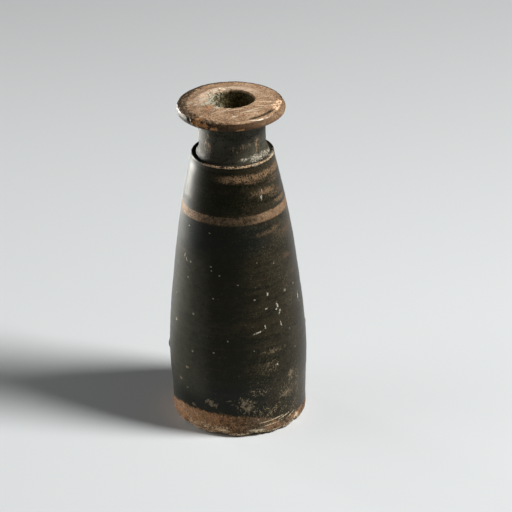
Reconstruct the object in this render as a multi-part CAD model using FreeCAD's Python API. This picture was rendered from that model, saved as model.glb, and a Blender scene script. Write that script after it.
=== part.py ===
"""Alabastron: a small flat-bottomed perfume vase of black-glossed fired clay, turned in one piece.

Millimetres, +Z up, front towards -Y. The origin is the centre of the level underside. The vase's own
axis leans a little towards -X, as the potter left it: the section is drawn upright, turned about +Z and
then tipped, and only the underside is trimmed level. Angles go round the axis from +X towards +Y.
"""
import FreeCAD
import Part

import math
import os

# Stance
lean_deg = 1.3
trim_depth = 2.0

# Foot: the level underside and the worn turn up to the wall, as radius and height
underside_radius = 18.0
foot_turn = [(19.3, 0.5), (20.45, 1.45), (21.15, 3.05), (21.9, 7.0)]

# Outer wall, by radius and height: a barrel foot, a swell to the belly, then a long taper that leans
# inwards more and more up to the shoulder. No two stretches meet at more than three degrees.
foot_radius = 21.22
outer_wall = [
    (21.22, 7.0),
    (21.42, 13.0),
    (21.69, 18.5),
    (21.69, 23.0),
    (21.2, 33.0),
    (19.41, 50.0),
    (17.96, 61.5),
    (16.1, 73.0),
    (13.87, 84.0),
]
shoulder_lean_deg = 12.2

# Shoulder: a thin eased edge, and the narrow groove between it and the neck's flared foot
shoulder_height = 90.0
shoulder_edge_width = 0.66
groove_depth = 0.9
groove_width = 0.5

# Neck
neck_radius = 10.25
neck_flare = 1.25
neck_foot_height = 93.2
neck_top_height = 101.0
neck_top_flare = 1.9

# Mouth plate: a thin disc with a bead and a shallow groove at its edge, rising gently to the lip
plate_radius = 16.6
plate_edge_radius = 16.3
plate_underside = 103.3
plate_edge_height = 105.95
edge_rounding = 0.45
bead_width = 0.9
plate_groove_width = 1.6
plate_groove_depth = 0.3
lip_height = 107.2
lip_rounding = 0.3

# Hollow, from the neck's bore down to the floor, as radius and height
bore_radius = 7.1
bore_foot_height = 91.5
inner_wall = [(8.6, 86.5), (11.2, 80.0), (15.9, 50.0), (18.3, 24.0), (18.1, 13.5)]
floor_height = 5.0
floor_corner_flats = 2

# Small flakes lost from edges: angle, radius and height of the edge, slope of the way in (90 is from
# straight above, 0 from outside, above 90 from inside the mouth), radius of the scoop and its depth
chips = [
    (-8.0, 16.1, 106.0, 50.0, 9.0, 0.6),
    (-27.0, 15.9, 106.0, 60.0, 2.2, 0.45),
    (-128.0, 16.4, 105.6, 20.0, 4.0, 0.4),
    (152.0, 7.3, 107.1, 110.0, 2.4, 0.6),
    (127.0, 7.3, 107.1, 115.0, 1.8, 0.6),
    (103.0, 7.3, 107.1, 115.0, 1.6, 0.5),
    (-107.0, 19.7, 0.4, -50.0, 4.5, 0.5),
    (-75.0, 19.7, 0.4, -50.0, 6.0, 0.6),
    (-34.0, 20.4, 1.1, -35.0, 3.0, 0.5),
]

# Grit that stands out from the wall: angle, wall radius and height, radius of the swelling, its rise
lumps = [
    (-178.0, 21.7, 23.5, 2.4, 0.4),
    (2.5, 21.4, 29.8, 1.6, 0.18),
]

upright = FreeCAD.Vector(0, 0, 1)
origin = FreeCAD.Vector(0, 0, 0)


class Section:
    """The vase's section, drawn edge by edge as distance from the axis and height."""

    def __init__(self, radius, height):
        self.here = FreeCAD.Vector(radius, 0, height)
        self.edges = []

    def line(self, radius, height):
        """A straight edge."""
        end = FreeCAD.Vector(radius, 0, height)
        self.edges.append(Part.LineSegment(self.here, end).toShape())
        self.here = end

    def chain(self, places):
        """Straight edges from place to place, each given as radius and height."""
        for radius, height in places:
            self.line(radius, height)

    def eased(self, corner_radius, corner_height, radius, height, flats=1):
        """A corner eased by a few flats, between here and the point given."""
        start = self.here
        corner = FreeCAD.Vector(corner_radius, 0, corner_height)
        end = FreeCAD.Vector(radius, 0, height)
        for step in range(1, flats + 1):
            share = step / flats
            place = start * (1 - share) ** 2 + corner * (2 * share * (1 - share)) + end * share ** 2
            self.line(place.x, place.z)


def draw_body(section):
    """Outer wall, thin eased shoulder edge and the groove inside it."""
    section.line(foot_radius, -trim_depth)
    section.chain(outer_wall)
    edge_start = shoulder_height - shoulder_edge_width
    outer = section.here.x - (edge_start - section.here.z) * math.tan(math.radians(shoulder_lean_deg))
    inner = outer - shoulder_edge_width
    groove_floor = shoulder_height - groove_depth
    section.line(outer, edge_start)
    section.eased(outer, shoulder_height, outer - shoulder_edge_width / 2, shoulder_height)
    section.line(inner, edge_start)
    section.line(inner - groove_width / 2, groove_floor)


def draw_neck(section):
    """The neck's flared foot, straight middle and the flare under the mouth plate."""
    section.line(neck_radius + neck_flare, shoulder_height)
    section.eased(neck_radius, shoulder_height + neck_flare / 2, neck_radius, neck_foot_height, 2)
    section.line(neck_radius, neck_top_height)
    section.eased(neck_radius, plate_underside, neck_radius + neck_top_flare, plate_underside, 3)


def draw_plate(section):
    """Underside, bulging outer face, edge bead, shallow groove and rising top, over the lip into the bore."""
    face_low = plate_underside + edge_rounding
    face_high = plate_edge_height - edge_rounding
    bead_outer = plate_edge_radius - edge_rounding
    bead_inner = bead_outer - bead_width
    groove_middle = bead_inner - plate_groove_width / 2
    section.line(bead_outer, plate_underside)
    section.line(plate_edge_radius, face_low)
    section.line(plate_radius, (face_low + face_high) / 2)
    section.line(plate_edge_radius, face_high)
    section.line(bead_outer, plate_edge_height)
    section.line(bead_inner, plate_edge_height)
    section.line(groove_middle, plate_edge_height - plate_groove_depth)
    section.line(bead_inner - plate_groove_width, plate_edge_height)
    section.line(bore_radius + lip_rounding, lip_height)
    section.line(bore_radius, lip_height - lip_rounding)


def draw_hollow(section):
    """The neck's bore, the inside of the shoulder and body, and the floor with its eased corner."""
    section.line(bore_radius, bore_foot_height)
    section.chain(inner_wall)
    wall_radius = section.here.x
    corner = section.here.z - floor_height
    section.eased(wall_radius, floor_height, wall_radius - corner, floor_height, floor_corner_flats)
    section.line(0, floor_height)
    section.line(0, -trim_depth)


def turned_vase():
    """The section turned once round and tipped."""
    section = Section(0, -trim_depth)
    draw_body(section)
    draw_neck(section)
    draw_plate(section)
    draw_hollow(section)
    vase = Part.Face(Part.Wire(section.edges)).revolve(origin, upright, 360)
    vase.rotate(origin, FreeCAD.Vector(0, 1, 0), -lean_deg)
    return vase


def level_foot():
    """All the room above the level underside and its worn turn, which trims the tipped vase."""
    wide = 2 * foot_radius
    section = Section(0, 0)
    section.line(underside_radius, 0)
    section.chain(foot_turn)
    section.line(wide, 2 * section.here.z)
    section.line(wide, 2 * lip_height)
    section.line(0, 2 * lip_height)
    section.line(0, 0)
    return Part.Face(Part.Wire(section.edges)).revolve(origin, upright, 360)


def around(angle_deg, radius, height):
    """A place on the tipped vase."""
    angle = math.radians(angle_deg)
    place = FreeCAD.Vector(radius * math.cos(angle), radius * math.sin(angle), height)
    return FreeCAD.Rotation(FreeCAD.Vector(0, 1, 0), -lean_deg).multVec(place)


def scoop(angle_deg, radius, height, slope_deg, ball, bite):
    """The ball that takes one flake from an edge."""
    slope = math.radians(slope_deg)
    stand_off = ball - bite
    centre = around(angle_deg, radius + stand_off * math.cos(slope), height + stand_off * math.sin(slope))
    return Part.makeSphere(ball, centre)


def swelling(angle_deg, radius, height, ball, rise):
    """A piece of grit sunk in the wall, with its crown proud of it."""
    return Part.makeSphere(ball, around(angle_deg, radius - ball + rise, height))


def alabastron():
    """The whole vase with its grit and its chipped edges."""
    whole = turned_vase().common(level_foot())
    whole = whole.fuse([swelling(*lump) for lump in lumps])
    whole = whole.cut([scoop(*chip) for chip in chips])
    return whole.Solids[0]


os.makedirs("parts", exist_ok=True)
vase = alabastron()
vase.exportStep("parts/vase.step")
print("valid", vase.isValid(), "volume cm3", round(vase.Volume / 1000, 2), "height", round(vase.BoundBox.ZMax, 2))
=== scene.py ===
"""Dresses the alabastron: its turned wall, chips and grit, its worn black gloss, and a plain studio.

Sizes inside are millimetres in the vase's own upright frame. A place on the vase is an angle round the
axis, a radius and a height. Angles are in degrees from +X towards +Y, so 0 is the right, -90 the front and
180 the left. The finished mesh is tipped by the vase's lean and set in metres.
"""
import math

import bpy
import numpy as np
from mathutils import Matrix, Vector, noise


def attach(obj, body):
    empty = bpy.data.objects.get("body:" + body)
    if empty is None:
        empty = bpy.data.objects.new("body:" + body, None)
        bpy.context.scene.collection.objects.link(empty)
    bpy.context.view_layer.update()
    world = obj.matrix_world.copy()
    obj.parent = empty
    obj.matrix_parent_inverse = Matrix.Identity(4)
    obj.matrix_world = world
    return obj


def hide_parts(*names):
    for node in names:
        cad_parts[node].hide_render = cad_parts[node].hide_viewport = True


bl_info = {
    "name": "Alabastron",
    "version": (1, 0, 0),
    "blender": (4, 5, 0),
    "location": "View3D > Sidebar > Alabastron",
    "description": "Builds a worn black-gloss perfume vase and the studio it stands in",
    "category": "Add Mesh",
}

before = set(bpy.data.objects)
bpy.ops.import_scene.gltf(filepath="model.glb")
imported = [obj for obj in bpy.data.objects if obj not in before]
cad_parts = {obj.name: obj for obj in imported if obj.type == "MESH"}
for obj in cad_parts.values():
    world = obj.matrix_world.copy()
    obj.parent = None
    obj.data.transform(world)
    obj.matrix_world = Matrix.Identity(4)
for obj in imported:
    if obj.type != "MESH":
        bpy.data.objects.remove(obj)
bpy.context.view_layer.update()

MM = 0.001
LEAN = math.radians(1.3)


class VaseSizes(bpy.types.PropertyGroup):
    """Sizes of the vase that can be changed without moving what it stands on."""

    columns: bpy.props.IntProperty(name="Columns", description="Faces round the vase", default=300, min=24)
    lip_height: bpy.props.FloatProperty(
        name="Lip height", description="Height of the mouth's lip along the axis",
        default=107.2 * MM, unit="LENGTH",
    )
    bore_radius: bpy.props.FloatProperty(
        name="Bore radius", description="Radius of the hole in the mouth plate",
        default=7.1 * MM, unit="LENGTH",
    )
    wheel_marks: bpy.props.FloatProperty(
        name="Wheel marks", description="Depth of the ridges the potter's fingers left",
        default=0.045 * MM, unit="LENGTH",
    )


class VaseColours(bpy.types.PropertyGroup):
    """Colours of the gloss and of the clay under it."""

    black: bpy.props.FloatVectorProperty(
        name="Black gloss", description="Thick black gloss",
        default=(0.0036, 0.0038, 0.0014), subtype="COLOR",
    )
    # Also painted on the right where the key light falls, as painted light
    brown: bpy.props.FloatVectorProperty(
        name="Brown gloss", description="Gloss where it is thin",
        default=(0.023, 0.0155, 0.008), subtype="COLOR",
    )
    # Also painted low on the front left as a blue sheen
    blue: bpy.props.FloatVectorProperty(
        name="Blue-black gloss", description="Gloss where it fired coolest",
        default=(0.0035, 0.0078, 0.0092), subtype="COLOR",
    )
    # Painted on the right where the key light falls, as the lit copy of the olive
    olive: bpy.props.FloatVectorProperty(
        name="Olive gloss", description="Greenish mottling in the gloss",
        default=(0.026, 0.0255, 0.013), subtype="COLOR",
    )
    # Dust on the neck; it is also painted where light and sheen fall on it
    neck_dust_and_sheen: bpy.props.FloatVectorProperty(
        name="Dusty gloss", description="Grey film left on the neck",
        default=(0.062, 0.059, 0.046), subtype="COLOR",
    )
    worn: bpy.props.FloatVectorProperty(
        name="Worn gloss", description="Clay seen through rubbed gloss",
        default=(0.25, 0.155, 0.085), subtype="COLOR",
    )
    buff: bpy.props.FloatVectorProperty(
        name="Buff", description="Rubbed patches low on the wall",
        default=(0.3, 0.23, 0.145), subtype="COLOR",
    )
    clay: bpy.props.FloatVectorProperty(
        name="Clay", description="Bare fired clay", default=(0.4, 0.247, 0.142), subtype="COLOR"
    )
    earth: bpy.props.FloatVectorProperty(
        name="Earth crust", description="Pale crust left by the soil",
        default=(0.56, 0.51, 0.4), subtype="COLOR",
    )


class StudioSettings(bpy.types.PropertyGroup):
    """Light and lens of the studio."""

    key_power: bpy.props.FloatProperty(
        name="Key light", description="Power of the main soft light", default=8.5, unit="POWER"
    )
    card_power: bpy.props.FloatProperty(
        name="Side card", description="Light thrown back by the card on the left",
        default=1.1, unit="POWER",
    )
    edge_power: bpy.props.FloatProperty(
        name="Edge light", description="Power of the narrow light behind on the left",
        default=0.6, unit="POWER",
    )
    fill: bpy.props.FloatProperty(
        name="Fill", description="Strength of the light from all round", default=0.012
    )
    lens: bpy.props.FloatProperty(name="Lens", description="Focal length", default=180.0, unit="CAMERA")


# The outer wall's measured places, from the worn foot up to the shoulder edge
wall_heights = [3.2, 7.0, 13.0, 18.5, 23.0, 33.0, 50.0, 61.5, 73.0, 84.0, 89.34]
wall_radii = [21.17, 21.17, 21.37, 21.62, 21.65, 21.17, 19.4, 17.96, 16.08, 13.84, 12.71]
wall_step = 0.75
wall_row_spacing = 0.55

# Corners above the wall: radius, height, rounding, and how far apart the rows before each are
upper_corners = [
    (12.72, 90.0, 0.33, 0.3),
    (12.06, 90.0, 0.3, 0.15),
    (12.0, 88.8, 0.25, 0.2),
    (11.4, 88.8, 0.2, 0.2),
    (11.25, 90.2, 0.3, 0.25),
    (10.25, 91.2, 1.8, 0.3),
    (10.25, 103.3, 1.9, 0.55),
    (16.3, 103.3, 0.5, 0.45),
    (16.62, 104.62, 0.9, 0.25),
    (16.3, 105.95, 0.45, 0.25),
    (14.8, 105.95, 0.4, 0.25),
    (14.0, 105.66, 0.5, 0.25),
    (13.2, 105.95, 0.5, 0.25),
]
# Corners of the hollow, from under the bore to the middle of its floor
bore_foot = 91.5
hollow_corners = [
    (8.6, 86.5, 2.0, 1.2),
    (11.2, 80.0, 4.0, 1.5),
    (15.9, 50.0, 6.0, 3.0),
    (18.2, 24.0, 6.0, 3.0),
    (18.2, 5.0, 8.0, 3.0),
    (0.0, 5.0, 0.0, 3.0),
]


def smooth_radius(height):
    """Radius of the outer wall at a height, on a smooth curve through its measured places."""
    heights = np.array(wall_heights)
    radii = np.array(wall_radii)
    slopes = np.gradient(radii, heights)
    i = int(np.clip(np.searchsorted(heights, height) - 1, 0, len(heights) - 2))
    span = heights[i + 1] - heights[i]
    t = (height - heights[i]) / span
    return float(
        radii[i] * (1 + 2 * t) * (1 - t) ** 2
        + slopes[i] * span * t * (1 - t) ** 2
        + radii[i + 1] * t * t * (3 - 2 * t)
        + slopes[i + 1] * span * t * t * (t - 1)
    )


def section_corners(lip, bore):
    """Corners of the whole section, from the middle of the underside over the lip to the hollow's floor."""
    corners = [(0.0, 0.0, 0.0, 1.0), (21.2, 0.0, 2.9, 2.2)]
    for height in np.arange(wall_heights[0], wall_heights[-1], wall_step):
        corners.append((smooth_radius(height), height, 0.0, wall_row_spacing))
    corners += upper_corners
    corners += [(bore, lip, 0.35, 0.3), (bore, bore_foot, 1.5, 0.7)]
    return corners + hollow_corners


def rows_of(corners):
    """Rows of the mesh along the section: radius, height, and the number of the corner it leads to."""
    rows = [(corners[0][0], corners[0][1], 0)]
    most_before, most_after, arc_step = 0.95, 0.6, math.radians(20)

    def go_to(x, z, spacing, corner):
        """Adds evenly spaced rows up to a place."""
        x0, z0 = rows[-1][0], rows[-1][1]
        length = math.hypot(x - x0, z - z0)
        if length < 1e-6:
            return
        count = max(1, round(length / spacing))
        for k in range(1, count + 1):
            rows.append((x0 + (x - x0) * k / count, z0 + (z - z0) * k / count, corner))

    for i in range(1, len(corners)):
        x, z, rounding, spacing = corners[i]
        if rounding == 0 or i == len(corners) - 1:
            go_to(x, z, spacing, i)
            continue
        before = Vector((rows[-1][0] - x, rows[-1][1] - z))
        after = Vector((corners[i + 1][0] - x, corners[i + 1][1] - z))
        turn = math.pi - before.angle(after)
        reach = rounding * math.tan(turn / 2)
        reach = min(reach, before.length * most_before, after.length * most_after)
        start = Vector((x, z)) + before.normalized() * reach
        end = Vector((x, z)) + after.normalized() * reach
        go_to(start.x, start.y, spacing, i)
        steps = max(2, math.ceil(turn / arc_step))
        for k in range(1, steps + 1):
            t = k / steps
            place = start * (1 - t) ** 2 + Vector((x, z)) * (2 * t * (1 - t)) + end * t * t
            rows.append((place.x, place.y, i))
    return rows


# Flakes and knocks: angle, radius, height, half width round the vase, reach up or inwards, depth
flakes = [
    (-8.0, 16.1, 106.0, 4.2, 1.2, 0.5),
    (-27.0, 15.9, 106.0, 1.4, 0.7, 0.4),
    (-128.0, 16.4, 105.4, 2.2, 0.9, 0.35),
    (152.0, 7.3, 107.1, 1.3, 0.9, 0.6),
    (139.0, 7.4, 107.1, 0.9, 0.8, 0.45),
    (127.0, 7.3, 107.1, 1.2, 0.9, 0.6),
    (114.0, 7.3, 107.1, 0.8, 0.7, 0.4),
    (103.0, 7.3, 107.1, 1.1, 0.8, 0.55),
    (-107.0, 20.2, 0.5, 2.4, 1.3, 0.5),
    (-75.0, 20.2, 0.5, 3.2, 1.4, 0.6),
    (-34.0, 20.6, 1.2, 1.6, 1.2, 0.5),
    (-52.0, 20.6, 1.0, 1.2, 1.0, 0.3),
    (-140.0, 20.4, 1.0, 1.8, 1.2, 0.35),
    (35.0, 20.4, 0.8, 2.2, 1.2, 0.4),
    (110.0, 20.4, 0.8, 3.0, 1.4, 0.45),
    (-38.0, 12.4, 89.9, 1.2, 0.5, 0.3),
    (-22.0, 12.4, 89.9, 0.8, 0.5, 0.25),
    (60.0, 12.4, 89.9, 1.4, 0.5, 0.25),
]
# Grit that stands proud: angle, radius, height, half width, rise
grit = [
    (-178.0, 21.65, 23.5, 1.3, 0.42),
    (2.5, 21.3, 29.8, 0.8, 0.17),
    (-51.0, 21.1, 37.0, 0.5, 0.1),
    (-120.0, 18.2, 58.0, 0.5, 0.08),
]


def on_axis(angle_deg, radius, height):
    """A place in the vase's own upright frame."""
    angle = math.radians(angle_deg)
    return (radius * math.cos(angle), radius * math.sin(angle), height)


def ease(value, low, high):
    """0 below low and 1 above high, with a smooth step between them."""
    share = np.clip((value - low) / (high - low), 0.0, 1.0)
    return share * share * (3 - 2 * share)


def waver(places, per_mm, octaves=2):
    """Smooth noise from about -1 to 1 at each place, with its own fineness along each axis."""
    scale = np.array(per_mm)
    fade, finer = 0.9, 2.1
    return np.array([noise.fractal(Vector(p * scale), fade, finer, octaves) for p in places])


def ramp(value, start, length):
    """0 up to a start, then evenly to 1 over a length. A negative length makes it run downwards."""
    return np.clip((value - start) / length, 0.0, 1.0)


def tipped(places):
    """Upright places tipped by the lean, with the foot kept level."""
    x, y, z = places.T
    level_below, tipped_above = 2.0, 14.0
    settle = ease(z, level_below, tipped_above)
    out = np.empty_like(places)
    out[:, 0] = x - z * math.sin(LEAN)
    out[:, 1] = y
    out[:, 2] = z * math.cos(LEAN) + x * math.sin(LEAN) * settle
    return out


def toward(angle, angle_deg):
    """1 where an angle in radians matches the one in degrees, and -1 on the far side."""
    return np.cos(angle - math.radians(angle_deg))


def wear_plate(angle, radius, height):
    """Trims the plate's edge, most on the right, and keeps its groove deep only at the front right."""
    even_loss, right_loss, rim_top = 0.28, 0.3, 105.94
    edge = ramp(height, 104.2, 1.6) * ramp(radius, 13.5, 2.0)
    radius = radius - edge * (even_loss - right_loss * toward(angle, 170))
    in_groove = (height > 105.0) & (height < rim_top) & (radius > 12.9) & (radius < 15.0)
    depth_kept = 0.12 + 0.88 * ease(toward(angle, -48), 0.7, 0.95)
    height = np.where(in_groove, rim_top - (rim_top - height) * depth_kept, height)
    return radius, height


def fill_shoulder_groove(angle, radius, height, outside):
    """Fills the groove inside the shoulder edge with earth, from the front round to the right."""
    filled = outside * ease(toward(angle, -50), -0.55, 0.25)
    in_groove = (radius > 11.3) & (radius < 12.08) & (height < 90.3) & (height > 88.0)
    earth_top = 89.82 + 0.3 * ramp(radius, 11.7, -0.4)
    height = np.where(in_groove, height + filled * np.maximum(earth_top - height, 0), height)
    flare_foot, flare_height, flare_radius, flare_width = 89.88, 3.3, 12.06, 1.81
    climb = np.clip(height - flare_foot, 0.01, flare_height) / flare_height
    flare = flare_radius - flare_width * climb ** 0.42
    on_flare = (radius > 10.2) & (radius < 11.45) & (height > 89.0) & (height < 93.6)
    radius = np.where(on_flare, radius + filled * np.maximum(flare - radius, 0), radius)
    return radius, height


def bend_mouth(angle, radius, height):
    """Takes the hole in the plate a little out of round."""
    near_mouth = ramp(height, 104.0, 2.0) * ramp(radius, 9.0, -1.2)
    return radius + near_mouth * (0.12 * np.cos(2 * angle + 0.6) + 0.08 * np.cos(5 * angle + 1.0))


def roughen(upright, radius, height, outside, wheel_depth):
    """How far each place moves outwards for wheel marks, pits, the battered foot, flakes and grit."""
    uneven_depth, pit_depth, bare_pit_depth = 0.06, 0.012, 0.07
    foot_loss, foot_knock_depth = 0.12, 0.2
    edge_radius, edge_height, edge_reach, underside_radius = 20.3, 0.9, 2.0, 18.5
    wheel_marks = waver(upright, (0.012, 0.012, 0.6))
    uneven = waver(upright + 40.0, (0.11, 0.11, 0.11))
    pits = waver(upright + 90.0, (0.8, 0.8, 0.8))
    move = wheel_depth * wheel_marks + uneven_depth * uneven * outside
    bare = ramp(height, 3.4, -3.0) * (radius > 17) + ramp(height, 105.0, 1.0)
    move += (pit_depth + bare_pit_depth * np.clip(bare, 0, 1)) * pits * outside

    foot_edge = np.clip(1 - np.hypot(radius - edge_radius, height - edge_height) / edge_reach, 0, 1)
    foot_knocks = waver(upright * np.array([1.0, 1.0, 0.0]) + 7.0, (0.28, 0.28, 1.0), 3)
    move += foot_edge * (foot_knock_depth * foot_knocks - foot_loss)

    ragged = 0.75 + 0.5 * pits
    for angle_deg, flake_radius, flake_height, half_width, reach, depth in flakes:
        centre = np.array(on_axis(angle_deg, flake_radius, flake_height))
        near = np.where(np.hypot(*(upright - centre)[:, :2].T) < 3 * half_width)[0]
        turn = math.radians(angle_deg)
        offset = upright[near] - centre
        sideways = -offset[:, 0] * math.sin(turn) + offset[:, 1] * math.cos(turn)
        inwards = offset[:, 0] * math.cos(turn) + offset[:, 1] * math.sin(turn)
        gap = np.sqrt((sideways / half_width) ** 2 + (inwards / reach) ** 2 + (offset[:, 2] / reach) ** 2)
        move[near] -= depth * np.clip(1.25 - gap * ragged[near], 0, 1) ** 0.7
    for angle_deg, grit_radius, grit_height, half_width, rise in grit:
        centre = np.array(on_axis(angle_deg, grit_radius, grit_height))
        gap = np.linalg.norm(upright - centre, axis=1) / half_width
        move += rise * np.clip(1.2 - gap, 0, 1) ** 0.6 * outside

    on_underside = (height < 0.02) & (radius < underside_radius)
    return np.where(on_underside, 0.0, move)


def ring_faces(rings, columns):
    """Faces between rings of places, closed by two last places, the underside's and the floor's."""
    faces = []
    for ring in range(rings - 1):
        here, above = ring * columns, (ring + 1) * columns
        for c in range(columns):
            n = (c + 1) % columns
            faces.append((here + c, here + n, above + n, above + c))
    under, floor = rings * columns, rings * columns + 1
    last = (rings - 1) * columns
    for c in range(columns):
        n = (c + 1) % columns
        faces.append((under, n, c))
        faces.append((floor, last + c, last + n))
    return faces


def around_axis(angle, radius, height):
    """Upright places from their angles in radians, radii and heights."""
    return np.stack([radius * np.cos(angle), radius * np.sin(angle), height], axis=1)


def throw_vase(sizes):
    """Places, faces, upright places in millimetres and the share that lies inside, for the whole vase."""
    bore = sizes.bore_radius / MM
    corners = section_corners(sizes.lip_height / MM, bore)
    rows = rows_of(corners)
    first_inside = next(i for i, corner in enumerate(corners) if corner[:2] == (bore, bore_foot))
    section = np.array([(r, z) for r, z, corner in rows[1:-1]])
    corner_of = np.array([corner for r, z, corner in rows[1:-1]])
    along = np.gradient(section, axis=0)
    along /= np.linalg.norm(along, axis=1)[:, None]
    outward = np.stack([along[:, 1], -along[:, 0]], axis=1)

    columns = sizes.columns
    angle = np.tile(-math.pi + 2 * math.pi * np.arange(columns) / columns, len(section))
    radius = np.repeat(section[:, 0], columns)
    height = np.repeat(section[:, 1], columns)
    inside = np.repeat((corner_of >= first_inside).astype(float), columns)
    outside = 1 - inside

    radius, height = wear_plate(angle, radius, height)
    radius, height = fill_shoulder_groove(angle, radius, height, outside)
    radius = bend_mouth(angle, radius, height)
    upright = around_axis(angle, radius, height)
    move = roughen(upright, radius, height, outside, sizes.wheel_marks / MM)
    radius = radius + move * np.repeat(outward[:, 0], columns)
    height = np.maximum(height + move * np.repeat(outward[:, 1], columns), 0.0)

    ends = np.array([[0.0, 0.0, rows[0][1]], [0.0, 0.0, rows[-1][1]]])
    upright = np.concatenate([around_axis(angle, radius, height), ends])
    inside = np.concatenate([inside, [0.0, 1.0]])
    return tipped(upright) * MM, ring_faces(len(section), columns), upright, inside


class Wire:
    """A value on its way through a shader. Arithmetic on it adds Math nodes."""

    def __init__(self, finish, socket):
        self.finish = finish
        self.socket = socket

    def maths(self, operation, *inputs):
        """A Math node on the values given."""
        return self.finish.node("ShaderNodeMath", {"operation": operation}, inputs)

    def __add__(self, other):
        return self.maths("ADD", self, other)

    def __radd__(self, other):
        return self.maths("ADD", other, self)

    def __sub__(self, other):
        return self.maths("SUBTRACT", self, other)

    def __rsub__(self, other):
        return self.maths("SUBTRACT", other, self)

    def __mul__(self, other):
        return self.maths("MULTIPLY", self, other)

    def __rmul__(self, other):
        return self.maths("MULTIPLY", other, self)

    def __truediv__(self, other):
        return self.maths("DIVIDE", self, other)

    def __pow__(self, other):
        return self.maths("POWER", self, other)

    def over(self, other):
        """The larger of two values."""
        return self.maths("MAXIMUM", self, other)

    def rise(self, low, high):
        """0 below low and 1 above high, with a smooth step between them."""
        return self.step(low, high, 0.0, 1.0)

    def fall(self, low, high):
        """1 below low and 0 above high."""
        return self.step(low, high, 1.0, 0.0)

    def step(self, low, high, before, after):
        """One value below low and another above high, with a smooth step between them."""
        inputs = {"Value": self, "From Min": low, "From Max": high, "To Min": before, "To Max": after}
        settings = {"interpolation_type": "SMOOTHSTEP", "clamp": False}
        return self.finish.node("ShaderNodeMapRange", settings, inputs)

    def within(self, low, high, edge):
        """1 between two values, with soft edges."""
        return self.rise(low - edge, low + edge) * self.fall(high - edge, high + edge)


class Finish:
    """A material under construction."""

    def __init__(self, name):
        self.material = bpy.data.materials.new(name)
        self.material.use_nodes = True
        self.tree = self.material.node_tree
        self.tree.nodes.clear()
        self.shader = self.tree.nodes.new("ShaderNodeBsdfPrincipled")
        output = self.tree.nodes.new("ShaderNodeOutputMaterial")
        self.tree.links.new(self.shader.outputs["BSDF"], output.inputs["Surface"])
        self.place = self.node("ShaderNodeTexCoord", {}, None, "Object")

    def feed(self, socket, value):
        """A link or a constant into a socket."""
        if isinstance(value, Wire):
            self.tree.links.new(value.socket, socket)
        elif value is not None:
            if socket.type == "RGBA" and len(value) == 3:
                value = (*value, 1.0)
            socket.default_value = value

    def node(self, kind, settings=None, inputs=None, output=0):
        """One node: first its settings, then the values or links of its sockets, by place or by name."""
        made = self.tree.nodes.new(kind)
        for name, value in (settings or {}).items():
            if name == "stops":
                elements = made.color_ramp.elements
                while len(elements) < len(value):
                    elements.new(1.0)
                for element, (position, colour) in zip(elements, value):
                    element.position = position
                    element.color = (*colour, 1.0)
            else:
                setattr(made, name, value)
        pairs = inputs.items() if isinstance(inputs, dict) else enumerate(inputs or [])
        for key, value in pairs:
            self.feed(made.inputs[key], value)
        return Wire(self, made.outputs[output])

    def vector_maths(self, operation, inputs, output="Value"):
        """A Vector Math node on the vectors given."""
        return self.node("ShaderNodeVectorMath", {"operation": operation}, inputs, output)

    def mix(self, share, first, second):
        """One colour over another by a share."""
        inputs = {0: share, 6: first, 7: second}
        return self.node("ShaderNodeMix", {"data_type": "RGBA"}, inputs, 2)

    def set(self, **inputs):
        """Inputs of the shader, with words joined by _ for spaces."""
        for name, value in inputs.items():
            self.feed(self.shader.inputs[name.replace("_", " ")], value)

    def grain(self, scale, per_axis=(1.0, 1.0, 1.0), detail=3.0, roughness=0.55, shift=0.0, turn=0.0):
        """Noise from 0 to 1, at a scale per millimetre along each axis, and turned about the upright one."""
        inputs = {
            "Vector": self.place,
            "Location": (shift * MM, shift * 0.7 * MM, shift * 1.3 * MM),
            "Rotation": (0.0, -LEAN, turn),
            "Scale": tuple(MM / (scale * a) for a in per_axis),
        }
        scaled = self.node("ShaderNodeMapping", {"vector_type": "TEXTURE"}, inputs)
        inputs = {"Vector": scaled, "Scale": 1.0, "Detail": detail, "Roughness": roughness}
        return self.node("ShaderNodeTexNoise", {}, inputs)


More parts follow.
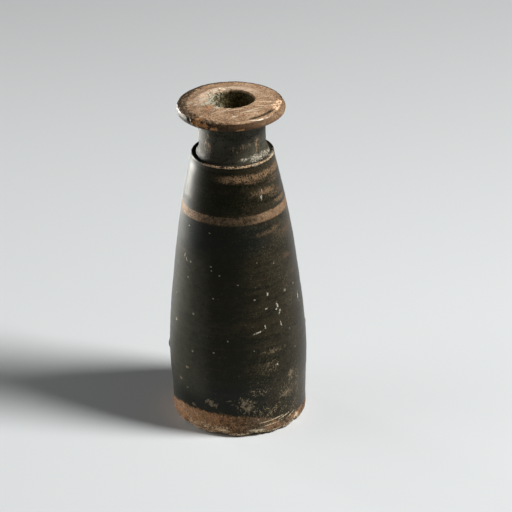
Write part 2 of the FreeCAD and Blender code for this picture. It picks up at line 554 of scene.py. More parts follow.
class Surface:
    """Where a point of the vase's surface is, in upright millimetres, with shared noises and masks."""

    def __init__(self, finish):
        self.finish = finish
        self.ragged = finish.grain(0.9, detail=4.0, roughness=0.7, shift=31.0)
        self.crumbled = finish.grain(2.3, detail=3.0, roughness=0.65, shift=57.0)
        upright = finish.node("ShaderNodeAttribute", {"attribute_name": "upright"}, None, "Vector")
        axes = ((1.0, 0.0, 0.0), (0.0, 1.0, 0.0), (0.0, 0.0, 1.0))
        self.x, self.y, self.height = (self.dot(upright, axis) for axis in axes)
        self.radius = (self.x * self.x + self.y * self.y) ** 0.5
        angle = self.y.maths("ARCTAN2", self.y, self.x)
        self.wall = finish.node("ShaderNodeCombineXYZ", {}, [angle, self.height, 1.0])
        self.plate = finish.node("ShaderNodeCombineXYZ", {}, [self.x, self.y, 1.0])
        self.coarse_rag = self.ragged * 6.0 - 3.0
        self.fine_rag = self.crumbled * 5.0 - 2.5
        self.fine = finish.grain(2.2, detail=4.0, roughness=0.7, shift=3.0)
        self.streaks = finish.grain(1.0, (0.03, 0.03, 1.0), detail=4.0, roughness=0.6)
        self.wide_streaks = finish.grain(1.0, (0.022, 0.022, 0.2), detail=2.0, shift=11.0)
        self.clouds = finish.grain(0.09, detail=3.0, shift=5.0)
        self.mottle = finish.grain(0.5, (1.0, 1.0, 1.5), detail=5.0, roughness=0.68, shift=23.0)

    def dot(self, first, second):
        """How far one vector reaches along another."""
        return self.finish.vector_maths("DOT_PRODUCT", [first, second])

    def side(self, angle_deg):
        """1 where the surface faces an angle, 0 at right angles to it, -1 on the far side."""
        angle = math.radians(angle_deg)
        return (self.x * math.cos(angle) + self.y * math.sin(angle)) / self.radius

    def oval(self, flat, stretch, middle, half_sizes, turn, rag, edge):
        """A ragged oval on the unrolled wall or on the plate."""
        shares = []
        ways = ((math.cos(turn), math.sin(turn)), (-math.sin(turn), math.cos(turn)))
        for (east, north), half_size in zip(ways, half_sizes):
            offset = middle[0] * stretch * east + middle[1] * north
            shares.append((stretch * east / half_size, north / half_size, -offset / half_size))
        if turn == 0:
            scale = (shares[0][0], shares[1][1], 0.0)
            shift = (shares[0][2], shares[1][2], 0.0)
            reach = self.finish.vector_maths("MULTIPLY_ADD", [flat, scale, shift], "Vector")
        else:
            turned = [self.dot(flat, share) for share in shares]
            reach = self.finish.node("ShaderNodeCombineXYZ", {}, turned)
        gap = self.finish.vector_maths("LENGTH", [reach])
        return (gap + rag).fall(1 - edge, 1 + edge)

    def on_wall(self, rows, rag, edge=0.4):
        """Patches on the outside, from rows of angle, radius, height, half length, half height and tilt."""
        whole = 0.0
        for angle_deg, radius, height, half_length, half_height, tilt_deg in rows:
            middle = (math.radians(angle_deg), height)
            half_sizes = (half_length, half_height)
            patch = self.oval(self.wall, radius, middle, half_sizes, math.radians(tilt_deg), rag, edge)
            whole = patch.over(whole)
        return whole

    def on_plate(self, rows, rag, edge=0.4):
        """Patches on the mouth plate, from rows of the two ends of each and its half width."""
        whole = 0.0
        for x0, y0, x1, y1, half_width in rows:
            middle = ((x0 + x1) / 2, (y0 + y1) / 2)
            half_sizes = (math.hypot(x1 - x0, y1 - y0) / 2, half_width)
            turn = math.atan2(y1 - y0, x1 - x0)
            whole = self.oval(self.plate, 1.0, middle, half_sizes, turn, rag, edge).over(whole)
        return whole


# Lowest and highest points of each stretch, along the axis
foot_edge_line = (0.6, 1.5)
foot_flecks = (1.8, 3.8)
foot_rust = (2.0, 4.6)
bare_foot_fade = (3.5, 6.0)
# Painted blue sheen low on the front left
low_blue_sheen_zone = (9.0, 19.0)
# Painted grey sheen on the left of the body
left_sheen_zone = (14.0, 61.0)
# Painted shade where the body faces the camera
front_shade_zone = (42.0, 72.0)
cool_zone = (62.0, 71.0)
bare_band = (72.0, 74.6)
rubbed_shoulder = (85.3, 87.1)
shoulder_top = (88.0, 91.0)
shoulder_ledge = (89.5, 90.3)
neck = (90.4, 103.2)
neck_foot = (90.6, 94.6)
crusted_bore = (94.0, 102.0)
plate_rim = (103.3, 105.6)
plate_top_start = (105.45, 105.8)

# Fixed tints of the gloss
# Neck dust as painted light, paler where the key light falls
painted_lit_dust = (0.11, 0.105, 0.084)
# Olive away from the light; the paler olive gloss is its painted lit copy on the right
deep_olive = (0.0105, 0.0115, 0.0045)
deepest_black = (0.0022, 0.0024, 0.0012)
# Speckles away from the light, and their warmer painted lit copy on the right
dull_speckle = (0.026, 0.025, 0.0135)
warm_speckle = (0.09, 0.072, 0.042)
# Painted grey sheen on the left of the body
painted_sheen_grey = (0.04, 0.039, 0.027)
# Tints of the clay
dark_clay = (0.17, 0.09, 0.048)
middle_clay = (0.31, 0.185, 0.108)
pale_clay = (0.56, 0.4, 0.27)
grimy_clay = (0.045, 0.03, 0.017)
rust = (0.36, 0.155, 0.055)
foot_cream = (0.74, 0.6, 0.4)
neck_buff = (0.34, 0.23, 0.14)
ledge_brown = (0.22, 0.13, 0.07)
ledge_cream = (0.6, 0.44, 0.28)
# Tints of the mouth plate and its rim
plate_stain = (0.19, 0.12, 0.07)
orange_clay = (0.56, 0.27, 0.125)
brushed_brown = (0.15, 0.085, 0.042)
lip_cream = (0.7, 0.52, 0.37)
pit_brown = (0.09, 0.05, 0.026)
grain_cream = (0.74, 0.55, 0.38)
chip_orange = (0.62, 0.37, 0.21)
chip_cream = (0.95, 0.64, 0.4)
scratch_cream = (0.72, 0.56, 0.41)
# Painted highlight on the plate's front edge
highlight_cream = (0.98, 0.84, 0.68)
rim_grime = (0.04, 0.016, 0.006)
rim_orange = (0.38, 0.18, 0.07)
# Tints of the mouth's inside
# Painted shade inside the mouth
bore_painted_shade = (0.03, 0.02, 0.012)
bore_olive = (0.17, 0.14, 0.055)
# Pale crust on the bore's left wall, with the key light on that wall painted in
bore_crust_and_lit_wall = (0.5, 0.47, 0.37)

# Marks on the walls: angle, radius, height, half length, half height and tilt
buff_patches = [
    (-113.5, 21.3, 12.1, 1.5, 1.0, -15),
    (-84.5, 21.3, 12.2, 1.7, 1.2, 10),
    (-82.5, 21.3, 10.6, 1.3, 0.7, 0),
    (-97.5, 21.3, 13.5, 0.7, 0.4, 0),
    (-131.5, 21.2, 9.6, 0.7, 0.5, 0),
    (-146.5, 21.5, 17.0, 0.5, 0.4, 0),
    (-137.0, 21.6, 22.4, 0.5, 0.35, 0),
    (-138.0, 21.4, 15.0, 0.45, 0.3, 0),
    (-40.0, 21.6, 18.8, 0.9, 1.2, 0),
    (-45.5, 21.3, 12.9, 1.3, 0.9, 30),
]
laced_patches = [
    (-84.0, 21.3, 11.6, 2.8, 2.4, 0),
    (-70.0, 21.3, 9.0, 3.6, 1.5, 5),
    (-56.0, 21.2, 8.2, 4.0, 1.8, 8),
    (-45.0, 21.3, 13.0, 2.8, 2.4, 20),
    (-31.0, 21.5, 16.5, 1.0, 5.5, 0),
    (-35.0, 21.2, 7.4, 2.0, 1.6, 0),
    (-41.0, 21.6, 19.0, 1.4, 2.0, 0),
    (-57.0, 21.4, 29.6, 3.8, 1.0, 0),
    (-62.0, 21.6, 24.5, 3.0, 2.0, 0),
    (-72.0, 21.5, 16.0, 3.0, 1.2, 0),
]
thin_patches = [
    (-95.0, 13.4, 85.9, 1.2, 0.8, 0),
    (-84.0, 13.4, 86.1, 0.8, 0.7, 0),
    (-62.0, 13.4, 85.4, 3.8, 0.8, 2),
    (-41.0, 13.4, 85.9, 2.6, 0.7, 4),
    (-20.0, 13.4, 86.0, 2.6, 1.1, 0),
    (-24.0, 13.8, 83.6, 3.0, 0.7, 0),
    (-46.0, 14.4, 80.9, 3.4, 0.9, 0),
    (-28.0, 14.9, 79.2, 4.0, 0.9, 0),
    (-20.0, 15.4, 76.6, 3.4, 0.7, 0),
    (-54.0, 16.9, 68.1, 3.4, 0.6, 0),
    (-22.0, 17.2, 66.4, 4.0, 1.4, 0),
    (-41.0, 16.7, 69.2, 1.6, 0.6, 0),
    (-30.0, 18.2, 58.6, 2.0, 0.6, 0),
    (-156.0, 18.0, 60.6, 2.6, 0.5, 0),
    (-147.0, 18.2, 59.0, 0.9, 0.8, 0),
    (-22.0, 19.2, 52.0, 1.6, 0.8, 0),
]
pale_marks = [
    (-71.0, 20.8, 36.9, 0.95, 0.17, 14),
    (-60.0, 19.5, 48.9, 0.2, 0.45, -10),
    (-62.5, 20.0, 44.2, 0.4, 0.2, 0),
    (-50.7, 20.0, 44.1, 0.2, 0.8, 12),
    (-48.6, 20.2, 41.9, 0.18, 0.7, -25),
    (-52.0, 20.1, 43.1, 0.3, 0.2, 0),
    (-48.5, 20.7, 37.6, 0.16, 0.8, 8),
    (-64.5, 20.6, 38.3, 0.16, 0.5, 4),
    (-19.5, 20.1, 42.7, 0.22, 0.9, -8),
    (-154.5, 20.8, 36.6, 0.35, 0.3, 0),
    (-55.0, 21.7, 24.5, 0.2, 0.35, 0),
    (-54.5, 14.6, 79.6, 0.2, 0.5, 0),
]
faint_marks = [
    (-17.0, 20.4, 40.6, 0.14, 0.35, 10),
    (-25.5, 19.6, 48.1, 0.21, 0.21, 0),
    (-39.0, 21.0, 34.8, 0.17, 0.15, 0),
    (-40.0, 19.6, 47.8, 0.35, 0.42, 0),
    (-68.5, 18.2, 59.6, 0.17, 0.14, 0),
    (-113.5, 18.3, 58.6, 0.24, 0.14, 0),
    (-113.0, 18.5, 57.2, 0.21, 0.14, 0),
    (-104.5, 18.6, 56.0, 0.28, 0.17, 0),
    (-87.5, 18.9, 53.2, 0.24, 0.15, 0),
    (-110.5, 19.5, 48.4, 0.21, 0.21, 0),
    (-157.5, 19.9, 45.2, 0.21, 0.28, 0),
    (-140.0, 19.0, 52.9, 0.28, 0.21, 0),
    (-131.0, 20.2, 41.7, 0.42, 0.28, 0),
    (-130.5, 21.5, 28.9, 0.28, 0.24, 0),
    (-110.0, 21.4, 30.2, 0.28, 0.21, 0),
    (-75.5, 21.3, 30.9, 0.17, 0.14, 0),
    (-33.0, 21.6, 27.4, 0.17, 0.17, 0),
    (-97.5, 21.0, 34.6, 0.21, 0.17, 0),
    (-144.0, 18.3, 58.2, 0.14, 0.49, 20),
    (-147.5, 18.2, 59.4, 0.14, 0.42, -20),
    (-138.0, 18.3, 58.2, 0.24, 0.21, 0),
    (-145.5, 16.7, 69.2, 0.21, 0.21, 0),
    (-116.5, 16.7, 69.2, 0.24, 0.14, 0),
    (-52.5, 14.3, 81.4, 0.15, 0.63, 10),
    (-50.0, 18.4, 58.0, 0.28, 0.14, 0),
    (-73.0, 19.6, 47.8, 0.21, 0.21, 0),
]
neck_marks = [
    (-141.0, 10.3, 95.2, 0.5, 2.2, 0),
    (-134.5, 10.3, 95.4, 0.6, 2.6, 0),
    (-128.0, 10.3, 94.6, 0.4, 1.6, 0),
    (-88.0, 10.3, 94.8, 0.8, 0.5, 5),
    (-81.0, 10.3, 94.2, 1.0, 0.6, 0),
    (-72.0, 10.3, 95.2, 0.9, 0.8, 0),
    (-60.0, 10.3, 95.4, 0.7, 0.8, 0),
    (-42.0, 10.3, 95.4, 0.9, 1.7, 0),
    (-46.0, 10.4, 93.2, 0.9, 0.5, 0),
]
neck_crust = [
    (-50.0, 11.0, 91.0, 1.7, 0.8, 0),
    (-68.0, 10.9, 91.3, 1.6, 0.4, 0),
    (-33.0, 11.0, 90.9, 2.2, 0.8, 0),
    (-14.0, 11.4, 90.3, 2.4, 0.7, 0),
    (-56.0, 12.5, 89.9, 0.8, 0.4, 0),
]
rim_spots = [
    (-130.0, 16.5, 105.0, 1.3, 1.0, 0),
    (-120.0, 16.5, 104.6, 1.5, 0.8, 0),
    (-108.0, 16.5, 104.2, 1.0, 0.5, 0),
    (-80.0, 16.4, 103.8, 1.2, 0.3, 0),
]
foot_scratches = [
    (-132.0, 21.2, 6.8, 0.12, 1.1, 34),
    (-128.5, 21.2, 5.6, 0.1, 0.9, 24),
    (-121.0, 21.2, 4.6, 0.12, 0.6, 42),
    (-142.0, 21.2, 4.8, 0.16, 0.9, 30),
    (-146.0, 21.2, 6.2, 0.1, 0.5, 20),
]
foot_streaks = [
    (-66.0, 21.2, 4.9, 1.9, 0.14, 3),
    (-56.5, 21.2, 5.2, 2.4, 0.16, 6),
    (-47.0, 21.2, 5.0, 2.0, 0.14, 12),
    (-62.0, 21.2, 3.6, 2.6, 0.16, 4),
    (-40.0, 21.2, 4.4, 1.3, 0.13, 20),
]
foot_edge_crust = [
    (-73.0, 20.9, 2.3, 2.2, 0.5, 0),
    (-104.0, 20.9, 2.3, 1.8, 0.35, 0),
    (-31.5, 21.1, 2.7, 0.9, 0.7, 0),
]
# Marks on the mouth plate: the two ends, east and north of the axis, and the half width
pale_lines = [
    (-3.6, -9.5, 1.6, -6.2, 0.22),
    (2.6, -5.4, 7.6, -2.5, 0.3),
    (7.4, -2.5, 15.2, 0.2, 0.2),
    (3.4, -9.4, 8.8, -7.1, 0.22),
    (-1.0, -8.6, 3.4, -7.4, 0.14),
    (5.0, -8.4, 10.0, -5.0, 0.14),
    (8.5, -4.9, 13.0, -2.6, 0.14),
    (-6.0, -9.6, -2.8, -8.4, 0.18),
    (0.2, -11.9, 1.8, -11.4, 0.4),
    (9.0, 2.2, 13.0, 3.8, 0.16),
    (4.0, 10.4, 11.0, 8.4, 0.14),
]
# A painted highlight: the light caught on the raised edge outside the groove at the front right
painted_highlight_arc = [
    (5.4, -14.2, 8.2, -13.5, 0.2),
    (8.0, -13.6, 10.4, -12.3, 0.26),
    (10.2, -12.4, 12.2, -10.5, 0.24),
    (12.1, -10.6, 13.5, -8.4, 0.18),
]
chalky_patches = [
    (-11.2, -2.6, -10.2, -2.2, 0.5),
    (-9.0, -3.4, -8.0, -2.7, 0.6),
    (-9.0, 0.0, -7.4, 0.8, 0.6),
    (-7.8, -2.0, -6.6, -3.6, 0.7),
    (-5.0, -6.6, -2.6, -5.6, 0.5),
    (-7.6, 4.2, -5.8, 6.0, 0.6),
    (-5.4, 7.4, -3.8, 8.2, 0.6),
    (-2.8, 8.2, -2.0, 8.8, 0.5),
    (0.6, 8.6, 1.8, 8.8, 0.45),
    (3.0, 8.2, 4.0, 8.0, 0.35),
    (-12.6, -0.8, -12.2, 0.0, 0.5),
]
stained_patches = [
    (2.0, -8.4, 9.6, -6.0, 1.2),
    (-13.0, 6.6, -10.0, 8.6, 1.4),
    (-10.6, -8.2, -9.2, -9.4, 1.0),
    (-4.0, -13.6, 4.0, -13.8, 0.9),
    (6.0, 6.0, 9.6, 3.0, 1.4),
    (8.8, 0.6, 12.0, 2.4, 1.2),
]
orange_chip = [
    (12.9, -4.6, 16.0, -3.8, 2.6),
    (13.6, -0.6, 15.8, -0.2, 1.5),
    (14.4, -7.6, 15.4, -6.4, 1.7),
]
orange_stain = [(-7.4, -6.4, -5.4, -5.6, 1.0)]


def gloss_colour(finish, s, colours):
    """Black gloss that browns where it is thin and is bluest where it fired coolest, with painted light on
    it: browner, paler olive and warmer speckles on the right where the key light falls, painted sheen on the
    left and low on the front left, and painted shade where it faces the camera.
    """
    # The right, where the key light falls: the gloss below is painted browner, paler and warmer there as
    # painted light, besides where it is thin
    right = s.side(-15).rise(0.15, 0.95)
    uneven = (s.wide_streaks - 0.5) * 1.6 + (s.clouds - 0.5) * 1.0 + (s.streaks - 0.5) * 1.6
    uneven = uneven + (s.mottle - 0.5) * 1.8
    brownness = (right * 0.75 + 0.08 + uneven).rise(0.0, 1.0)
    gloss = finish.mix(brownness, colours.black, colours.brown)

    cool_gloss_and_blue_sheen = (s.height + (s.wide_streaks - 0.5) * 14.0).within(*cool_zone, 2.6) * s.side(-120).rise(-0.2, 0.9)
    # Under the band the gloss fired blue; low on the front left a blue sheen is painted in
    cool_gloss_and_blue_sheen = cool_gloss_and_blue_sheen.over(s.height.within(*low_blue_sheen_zone, 3.0) * s.side(-105).rise(0.5, 0.95) * 0.8)
    on_neck = s.height.within(*neck, 0.5)
    # Dust on the neck, painted heavier on the right where the key light falls and on the left where a sheen
    # falls, as painted light
    neck_dust_and_sheen = (s.clouds * 0.25 + s.mottle * 0.45 + s.fine * 0.3).rise(0.38, 0.58)
    neck_dust_and_sheen = neck_dust_and_sheen * (right * 0.9 + s.side(-140).rise(0.3, 0.95) * 0.7 + 0.5)
    # The dust is painted paler towards the right where the key light falls
    neck_dust_and_light_colour = finish.mix(s.side(-30).rise(0.6, 0.98), colours.neck_dust_and_sheen, painted_lit_dust)
    gloss = finish.mix(on_neck * neck_dust_and_sheen * 0.8, gloss, neck_dust_and_light_colour)
    # Olive mottling, painted stronger and paler on the right where the key light falls
    olive = (s.mottle * 0.5 + s.fine * 0.5).rise(0.46, 0.6) * (right * 0.45 + 0.45)
    gloss = finish.mix(olive, gloss, finish.mix(right, deep_olive, colours.olive))
    gloss = finish.mix((s.fine * 0.6 + s.streaks * 0.4).fall(0.4, 0.48) * 0.6, gloss, deepest_black)
    gloss = finish.mix(cool_gloss_and_blue_sheen * 0.65, gloss, colours.blue)

    speckle = (s.fine * 0.5 + s.crumbled * 0.5 + (s.clouds - 0.5) * 0.3).rise(0.52, 0.64)
    # Speckles painted warmer and stronger on the right where the key light falls
    speckle_colour = finish.mix(right, dull_speckle, warm_speckle)
    gloss = finish.mix(speckle * (right * 0.15 + 0.55), gloss, speckle_colour)
    # Painted shade: the body is darkened where it faces the camera, standing in for the dark reflection of
    # the studio front
    front_painted_shade = s.height.within(*front_shade_zone, 4.0) * s.side(-98).rise(0.86, 1.0)
    gloss = finish.mix(front_painted_shade * 0.5, gloss, colours.black)
    # Painted sheen: a grey film on the left stands in for the tail of the gloss highlight there
    painted_sheen_film = s.height.within(*left_sheen_zone, 4.0) * s.side(-141).rise(0.86, 0.98)
    painted_sheen_film = painted_sheen_film * (s.mottle * 0.5 + s.clouds * 0.2 + s.fine * 0.3).rise(0.15, 0.75)
    return finish.mix(painted_sheen_film, gloss, painted_sheen_grey)


def clay_colour(finish, s, colours):
    """Bare fired clay, mottled from dark to pale, and the broad tone that stains follow."""
    tone = finish.grain(0.3, detail=4.0, roughness=0.65, shift=17.0)
    stops = [(0.34, dark_clay), (0.44, middle_clay), (0.53, colours.clay), (0.64, pale_clay)]
    return finish.node("ShaderNodeValToRGB", {"stops": stops}, [tone * 0.45 + s.fine * 0.55]), tone


def mouth_plate(finish, s, clay, tone):
    """Where the mouth plate is bare, its brushed and stained clay, the chalk on it, and a painted highlight
    along its front right edge.
    """
    on_plate = s.height.rise(*plate_top_start)
    stains = s.on_plate(stained_patches, s.coarse_rag, 0.6)
    stains = stains.over((tone * 0.6 + s.ragged * 0.4).fall(0.38, 0.5)) * 0.6
    colour = finish.mix(stains, clay, plate_stain)
    colour = finish.mix(s.on_plate(orange_stain, s.coarse_rag, 0.6) * 0.7, colour, orange_clay)
    brushed = finish.grain(1.6, (0.18, 1.0, 1.0), detail=3.0, roughness=0.7, shift=71.0, turn=0.45)
    colour = finish.mix((brushed * 0.6 + s.fine * 0.4).fall(0.4, 0.49) * 0.6, colour, brushed_brown)
    lip_wear = s.side(110).rise(-0.3, 0.7) * s.radius.within(7.0, 11.0, 1.0) * s.ragged.rise(0.34, 0.5)
    colour = finish.mix(lip_wear * 0.75, colour, lip_cream)
    colour = finish.mix(s.fine.fall(0.39, 0.45) * 0.55, colour, pit_brown)
    colour = finish.mix(s.fine.rise(0.58, 0.64) * 0.5, colour, grain_cream)
    grains = (s.crumbled * 0.6 + s.fine * 0.4).rise(0.57, 0.63) * (s.side(-150).rise(-0.4, 0.9) * 0.6 + 0.3)
    grains = grains.over(brushed.rise(0.6, 0.66) * 0.5) * s.radius.fall(13.0, 14.5)

    chip = s.on_plate(orange_chip, s.coarse_rag * 0.35 + s.fine_rag * 0.2, 0.25)
    colour = finish.mix(chip, colour, finish.mix(s.fine.rise(0.33, 0.52), chip_orange, chip_cream))
    pale = s.on_plate(pale_lines, s.fine_rag * 0.6, 0.5) * 0.75
    colour = finish.mix(pale, colour, scratch_cream)
    # Painted highlight along the plate's front right edge
    colour = finish.mix(s.on_plate(painted_highlight_arc, s.fine_rag * 0.25, 0.4), colour, highlight_cream)
    chalk = s.on_plate(chalky_patches, s.fine_rag * 1.6, 0.4).over(grains * 0.8) * (1 - chip) * on_plate

    gloss_from = 15.4 - s.side(-168).rise(0.3, 0.95) * 1.8 + (s.ragged - 0.5) * 7.0
    gloss_left = (s.radius - gloss_from).rise(-0.6, 0.6) * s.side(-168).rise(0.1, 0.4)
    gloss_left = gloss_left * (1 - (s.fine * 0.5 + s.crumbled * 0.5).rise(0.5, 0.6) * 0.6)
    gloss_back = (s.radius + (s.ragged - 0.5) * 1.5).rise(15.1, 15.5) * s.side(85).rise(-0.5, -0.1)
    groove = s.radius.within(13.3, 14.5, 0.2) * s.side(-45).rise(0.9, 0.97)
    plate = on_plate * (1 - gloss_left.over(gloss_back) * 0.9) * (1 - groove * 0.9)
    return plate, colour, chalk


def body_band(finish, s, clay):
    """Where the bare band round the body shows, and its grimy clay."""
    edge = (s.streaks - 0.5) * 1.2 + (s.ragged - 0.5) * 1.0 + (s.clouds - 0.5) * 0.8
    band = (s.height + edge).within(*bare_band, 0.3)
    covered = s.side(-93).rise(0.74, 0.98) * 0.56 + (s.ragged * 0.4 + s.fine * 0.6).rise(0.5, 0.6) * 0.6
    band = band * (1 - covered).rise(0.0, 0.9)
    grime = 0.62 - s.side(-20).rise(0.4, 1.0) * 0.15 - (s.fine * 0.5 + s.crumbled * 0.5 - 0.5) * 2.2
    return band, finish.mix(grime, clay, grimy_clay)


def bare_foot(finish, s, clay, tone):
    """Where the foot is bare, its stained and rusty clay, and its grit."""
    top = s.side(-115).rise(0.35, 1.0) * 4.0 + 4.2 + (s.ragged - 0.5) * 3.0 + (s.clouds - 0.5) * 2.0
    foot = (s.height - top).fall(-0.6, 0.6)
    stain = (tone + (s.crumbled - 0.5) * 0.5 + s.side(-98).rise(0.8, 1.0) * 0.15).rise(0.4, 0.62)
    foot_grit = s.crumbled * 0.45 + s.fine * 0.3 + s.ragged * 0.25
    grime = stain * 0.45 + foot_grit.fall(0.43, 0.53) * 0.5 + s.side(175).rise(0.6, 0.95) * 0.4
    grime = grime + 0.36 - s.side(-136).rise(0.78, 0.97) * 0.42
    colour = finish.mix(grime, clay, grimy_clay)
    rusty = s.side(-150).rise(0.2, 0.9) * 0.8
    rusty = rusty + s.height.within(*foot_rust, 0.5) * stain.fall(0.2, 0.7) * 0.6
    rusty = rusty * (s.crumbled * 0.5 + s.ragged * 0.5).rise(0.4, 0.58)
    return foot, finish.mix(rusty * 0.85, colour, rust), foot_grit


def thin_gloss(s):
    """Where the gloss is rubbed thin on the body and the shoulder."""
    thin = s.on_wall(thin_patches, s.coarse_rag * 0.7 + s.fine_rag * 0.5, 0.6)
    thin = thin * (s.streaks * 0.45 + s.fine * 0.55).rise(0.38, 0.62) * s.height.step(64.0, 80.0, 0.3, 0.85)
    rubbed = (s.height + (s.ragged - 0.5) * 3.0).within(*rubbed_shoulder, 0.5) * s.side(-50).rise(0.3, 0.9)
    return thin.over(rubbed * (s.fine * 0.6 + s.ragged * 0.4).rise(0.42, 0.56) * 0.95)


def worn_ledge(s):
    """Where the top of the shoulder edge is bare."""
    ledge = s.height.within(*shoulder_ledge, 0.1) * s.radius.rise(12.05, 12.25)
    return ledge * s.side(-72).rise(0.35, 0.6) * (s.ragged * 0.5 + s.crumbled * 0.5).rise(0.43, 0.51)


def worn_rim(finish, s, clay):
    """Where the plate's rim is worn, its orange spots, and the worn part's colour."""
    rim = s.height.within(*plate_rim, 0.25) * s.radius.rise(14.5, 15.0)
    wear = s.side(-15).rise(-0.4, 0.8) * 0.5 + (s.ragged + s.fine - 1.0) * 1.4 + 0.25
    wear = rim * wear.rise(0.0, 0.9)
    spots = s.on_wall(rim_spots, s.coarse_rag * 0.8 + s.fine_rag * 0.4, 0.3) * 0.85
    return wear, spots, finish.mix(0.88 - s.side(-10).rise(0.4, 0.95) * 0.45, clay, rim_grime)


def mouth_inside(finish, s):
    """Where the hollow is, and its colour: dark as painted shade, with olive mottling on the back wall, and
    on the left a pale crust that also carries the key light on that wall, painted in.
    """
    inside = finish.node("ShaderNodeAttribute", {"attribute_name": "inside"}, None, "Fac")
    # Crust on the left inner wall, painted paler where the key light falls on it
    crust_and_lit_wall = (s.side(-165) + (s.crumbled - 0.5) * 3.4 + (s.ragged - 0.5) * 2.0).rise(0.3, 0.8)
    crust_and_lit_wall = crust_and_lit_wall * s.height.rise(*crusted_bore)
    back_wall = s.side(80).rise(-0.5, 0.7) * (s.ragged * 0.5 + s.fine * 0.5).rise(0.42, 0.6)
    colour = finish.mix(back_wall, bore_painted_shade, bore_olive)
    return inside, finish.mix(crust_and_lit_wall * 0.9, colour, bore_crust_and_lit_wall)


def rubbed_wall(finish, s):
    """The lace of thin gloss low on the right, and the small buff patches rubbed through it."""
    veins = finish.grain(0.75, (1.0, 1.0, 0.8), detail=1.6, shift=83.0)
    veins = veins.within(0.455, 0.535, 0.015) * s.crumbled.rise(0.45, 0.54)
    lace = s.on_wall(laced_patches, s.coarse_rag * 0.6, 0.6) * veins.over(s.fine.rise(0.6, 0.64) * 0.6)
    lace = lace * s.height.step(15.0, 24.0, 0.78, 0.4)
    buff = s.on_wall(buff_patches, s.coarse_rag) * (s.fine * 1.6 - 0.25).rise(0.2, 0.8) * 0.8
    return lace, buff


def foot_edge_marks(s, foot_grit):
    """Crust, streaks and flecks on the foot's edge."""
    edge_line = (s.height + (s.ragged - 0.5) * 2.4).within(*foot_edge_line, 0.2)
    edge_line = edge_line * (s.crumbled * 0.5 + s.ragged * 0.5).rise(0.49, 0.53)
    marks = s.on_wall(foot_edge_crust, s.coarse_rag).over(edge_line * s.side(-80).rise(-0.1, 0.4)) * 0.85
    marks = marks.over(s.on_wall(foot_streaks, s.fine_rag * 1.1, 0.5) * 0.75)
    left_flecks = s.height.within(*foot_flecks, 0.5) * s.side(-120).rise(0.9, 0.97)
    return marks.over(left_flecks * foot_grit.rise(0.49, 0.56) * 0.6)


def vase_finish(colours):
    """Worn black gloss over fired clay, with the marks and crust on it, and painted light: sheen and shade
    on the gloss, a highlight on the plate, and shade and lit crust inside the mouth.
    """
    finish = Finish("black_gloss")
    s = Surface(finish)
    gloss = gloss_colour(finish, s, colours)
    clay, tone = clay_colour(finish, s, colours)
    plate, plate_clay, chalk = mouth_plate(finish, s, clay, tone)
    band, band_clay = body_band(finish, s, clay)
    foot, foot_clay, foot_grit = bare_foot(finish, s, clay, tone)
    thin = thin_gloss(s)
    ledge = worn_ledge(s)
    rim_wear, rim_spot, rim_clay = worn_rim(finish, s, clay)
    inside, inner = mouth_inside(finish, s)

    colour = finish.mix(thin, gloss, colours.worn)
    colour = finish.mix(band, colour, band_clay)
    colour = finish.mix(foot, colour, foot_clay)
    colour = finish.mix(rim_wear, colour, rim_clay)
    colour = finish.mix(rim_spot, colour, rim_orange)
    colour = finish.mix(ledge, colour, finish.mix(s.fine.rise(0.4, 0.6), ledge_brown, ledge_cream))
    colour = finish.mix(plate, colour, plate_clay)

    lace, buff = rubbed_wall(finish, s)
    colour = finish.mix(lace.over(buff), colour, colours.buff)
    specks = (s.crumbled * 0.6 + s.fine * 0.4).rise(0.645, 0.68) * s.side(-50).rise(-0.9, 0.9)
    specks = specks * s.clouds.rise(0.38, 0.6)
    combed = finish.grain(1.7, (1.0, 1.0, 0.35), detail=3.0, roughness=0.65, shift=91.0)
    necks = s.on_wall(neck_marks, s.fine_rag * 0.8, 0.5) * combed.rise(0.5, 0.58) * 0.72
    crust = s.on_wall(neck_crust, s.coarse_rag * 0.7, 0.7)
    crust = crust * (s.crumbled * 0.6 + s.fine * 0.4).rise(0.45, 0.56) * 0.85
    scratches = s.on_wall(foot_scratches, s.fine_rag * 1.8, 0.5) * 0.42
    scratches = scratches.over(foot * foot_grit.rise(0.565, 0.6) * 0.45)
    edge_marks = foot_edge_marks(s, foot_grit)
    colour = finish.mix(edge_marks, colour, foot_cream)
    marks = s.on_wall(pale_marks, s.fine_rag * 1.5, 0.5) * 0.9
    marks = marks.over(s.on_wall(faint_marks, s.fine_rag * 1.2, 0.4) * 0.4)
    colour = finish.mix(necks, colour, neck_buff)
    earth = marks.over(crust).over(specks * 0.5).over(scratches).over(chalk)
    colour = finish.mix(earth, colour, colours.earth)
    colour = finish.mix(inside, colour, inner)

    bare = band.over(foot).over(thin).over(ledge).over(plate).over(rim_wear).over(rim_spot).over(inside)
    dull = bare.over(earth).over(buff).over(lace).over(necks).over(edge_marks)
    gloss_roughness = s.height.rise(*shoulder_top) * 0.21 + s.height.within(*neck_foot, 0.8) * 0.2 + 0.36
    gloss_roughness = gloss_roughness + (s.streaks - 0.5) * 0.2 + (s.fine - 0.5) * 0.2
    finish.set(
        Base_Color=colour,
        Roughness=gloss_roughness * (1 - dull) + dull * 0.8,
        IOR=1.5,
        Specular_IOR_Level=0.13,
        Specular_Tint=(1.0, 0.95, 0.74),
        Sheen_Weight=0.05,
        Sheen_Roughness=0.45,
        Sheen_Tint=(1.0, 0.96, 0.88),
    )
    bare_ends = s.height.rise(*plate_top_start).over(s.height.fall(*bare_foot_fade))
    relief = s.fine * 0.5 + s.streaks * 0.35 + s.ragged * (bare_ends * 0.8 + 0.1)
    bump = finish.node("ShaderNodeBump", {}, {"Strength": 0.5, "Distance": 0.12 * MM, "Height": relief})
    finish.set(Normal=bump)
    return finish.material


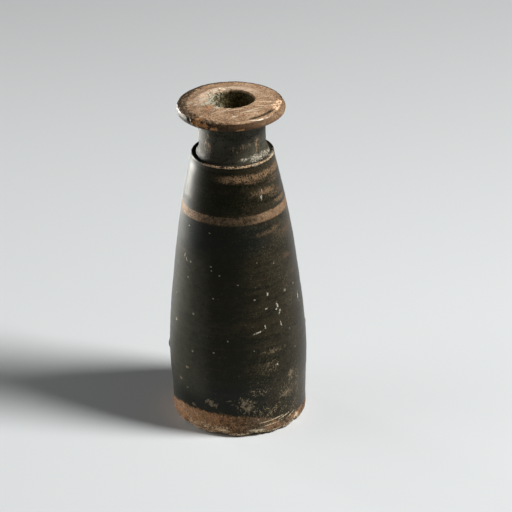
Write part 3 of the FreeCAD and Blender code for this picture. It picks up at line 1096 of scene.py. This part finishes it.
def floor_finish():
    """Plain pale paper."""
    finish = Finish("pale_floor")
    tint = finish.node("ShaderNodeTexNoise", {}, {"Vector": finish.place, "Scale": 6.0, "Detail": 2.0})
    colour = finish.mix(tint, (0.7, 0.728, 0.745), (0.715, 0.743, 0.76))
    finish.set(Base_Color=colour, Roughness=0.75)
    return finish.material


def mesh_object(name, places, faces, material):
    """A smooth-shaded object from places in metres."""
    mesh = bpy.data.meshes.new(name)
    mesh.from_pydata([tuple(p) for p in places], [], faces)
    mesh.update()
    mesh.shade_smooth()
    mesh.materials.append(material)
    made = bpy.data.objects.new(name, mesh)
    bpy.context.scene.collection.objects.link(made)
    return made


def area_light(name, place, aim, size, power, colour, spread_deg):
    """A soft oval light that looks at a place."""
    data = bpy.data.lights.new(name, "AREA")
    data.shape = "ELLIPSE"
    data.size, data.size_y = size
    data.energy = power
    data.color = colour
    data.spread = math.radians(spread_deg)
    light = bpy.data.objects.new(name, data)
    light.visible_camera = False
    light.location = place
    light.rotation_euler = (Vector(aim) - Vector(place)).to_track_quat("-Z", "Y").to_euler()
    bpy.context.scene.collection.objects.link(light)


class VASE_OT_throw(bpy.types.Operator):
    """Turns the vase and gives it its worn gloss."""

    bl_idname = "vase.throw"
    bl_label = "Throw the vase"

    def execute(self, context):
        places, faces, upright, inside = throw_vase(context.scene.vase_sizes)
        material = vase_finish(context.scene.vase_colours)
        vase = mesh_object("worn_vase", places, faces, material)
        attribute = vase.data.attributes.new("inside", "FLOAT", "POINT")
        attribute.data.foreach_set("value", inside.astype(np.float32))
        attribute = vase.data.attributes.new("upright", "FLOAT_VECTOR", "POINT")
        attribute.data.foreach_set("vector", upright.astype(np.float32).ravel())
        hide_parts("vase")
        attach(vase, "root")
        return {"FINISHED"}


class VASE_OT_stage(bpy.types.Operator):
    """Sets the floor, the lights and the camera."""

    bl_idname = "vase.stage"
    bl_label = "Set the stage"

    def execute(self, context):
        scene = context.scene
        studio = scene.vase_studio
        half = 3.0
        corners = [(-half, -half, 0), (half, -half, 0), (half, half, 0), (-half, half, 0)]
        floor = mesh_object("floor", corners, [(0, 1, 2, 3)], floor_finish())

        distance, azimuth, elevation = 1.2, math.radians(-11.7), math.radians(50)
        key_place = (
            distance * math.cos(azimuth) * math.cos(elevation),
            distance * math.sin(azimuth) * math.cos(elevation),
            distance * math.sin(elevation),
        )
        area_light(
            "key", place=key_place, aim=(-0.18, 0.06, 0.0), size=(0.38, 0.38),
            power=studio.key_power, colour=(1.0, 0.985, 0.965), spread_deg=124,
        )
        area_light(
            "side_card", place=(-0.6, -0.02, 0.22), aim=(0.0, 0.0, 0.05), size=(0.56, 0.36),
            power=studio.card_power, colour=(1.0, 0.99, 0.97), spread_deg=180,
        )
        area_light(
            "edge_light", place=(-0.5, 0.42, 0.03), aim=(0.0, 0.0, 0.115), size=(0.34, 0.05),
            power=studio.edge_power, colour=(1.0, 0.99, 0.96), spread_deg=26,
        )

        world = bpy.data.worlds.new("studio_air")
        world.use_nodes = True
        background = world.node_tree.nodes["Background"]
        background.inputs["Color"].default_value = (0.9, 0.96, 1.0, 1.0)
        background.inputs["Strength"].default_value = studio.fill
        scene.world = world

        data = bpy.data.cameras.new("camera")
        data.lens = studio.lens
        data.sensor_width = 36.0
        data.clip_start = 0.01
        camera = bpy.data.objects.new("camera", data)
        camera.location = (0.005147, -0.71227, 0.41775)
        target = Vector((0.005145, 0.0, 0.053515))
        camera.rotation_euler = (target - camera.location).to_track_quat("-Z", "Y").to_euler()
        scene.collection.objects.link(camera)
        scene.camera = camera
        scene.view_settings.view_transform = "Standard"
        return {"FINISHED"}


class VASE_PT_panel(bpy.types.Panel):
    """Lists the vase's sizes and colours and the steps that build it."""

    bl_label = "Alabastron"
    bl_idname = "VASE_PT_panel"
    bl_space_type = "VIEW_3D"
    bl_region_type = "UI"
    bl_category = "Alabastron"

    def draw(self, context):
        for group in (context.scene.vase_sizes, context.scene.vase_colours, context.scene.vase_studio):
            for name in group.__annotations__:
                self.layout.prop(group, name)
        self.layout.operator(VASE_OT_throw.bl_idname)
        self.layout.operator(VASE_OT_stage.bl_idname)


classes = (VaseSizes, VaseColours, StudioSettings, VASE_OT_throw, VASE_OT_stage, VASE_PT_panel)


def register():
    """Makes the classes and settings known to Blender."""
    for each in classes:
        bpy.utils.register_class(each)
    bpy.types.Scene.vase_sizes = bpy.props.PointerProperty(type=VaseSizes)
    bpy.types.Scene.vase_colours = bpy.props.PointerProperty(type=VaseColours)
    bpy.types.Scene.vase_studio = bpy.props.PointerProperty(type=StudioSettings)


def unregister():
    """Takes the classes and settings away again."""
    del bpy.types.Scene.vase_sizes
    del bpy.types.Scene.vase_colours
    del bpy.types.Scene.vase_studio
    for each in reversed(classes):
        bpy.utils.unregister_class(each)


def main():
    """Builds everything in order."""
    register()
    bpy.ops.vase.throw()
    bpy.ops.vase.stage()


if __name__ == "__main__":
    main()
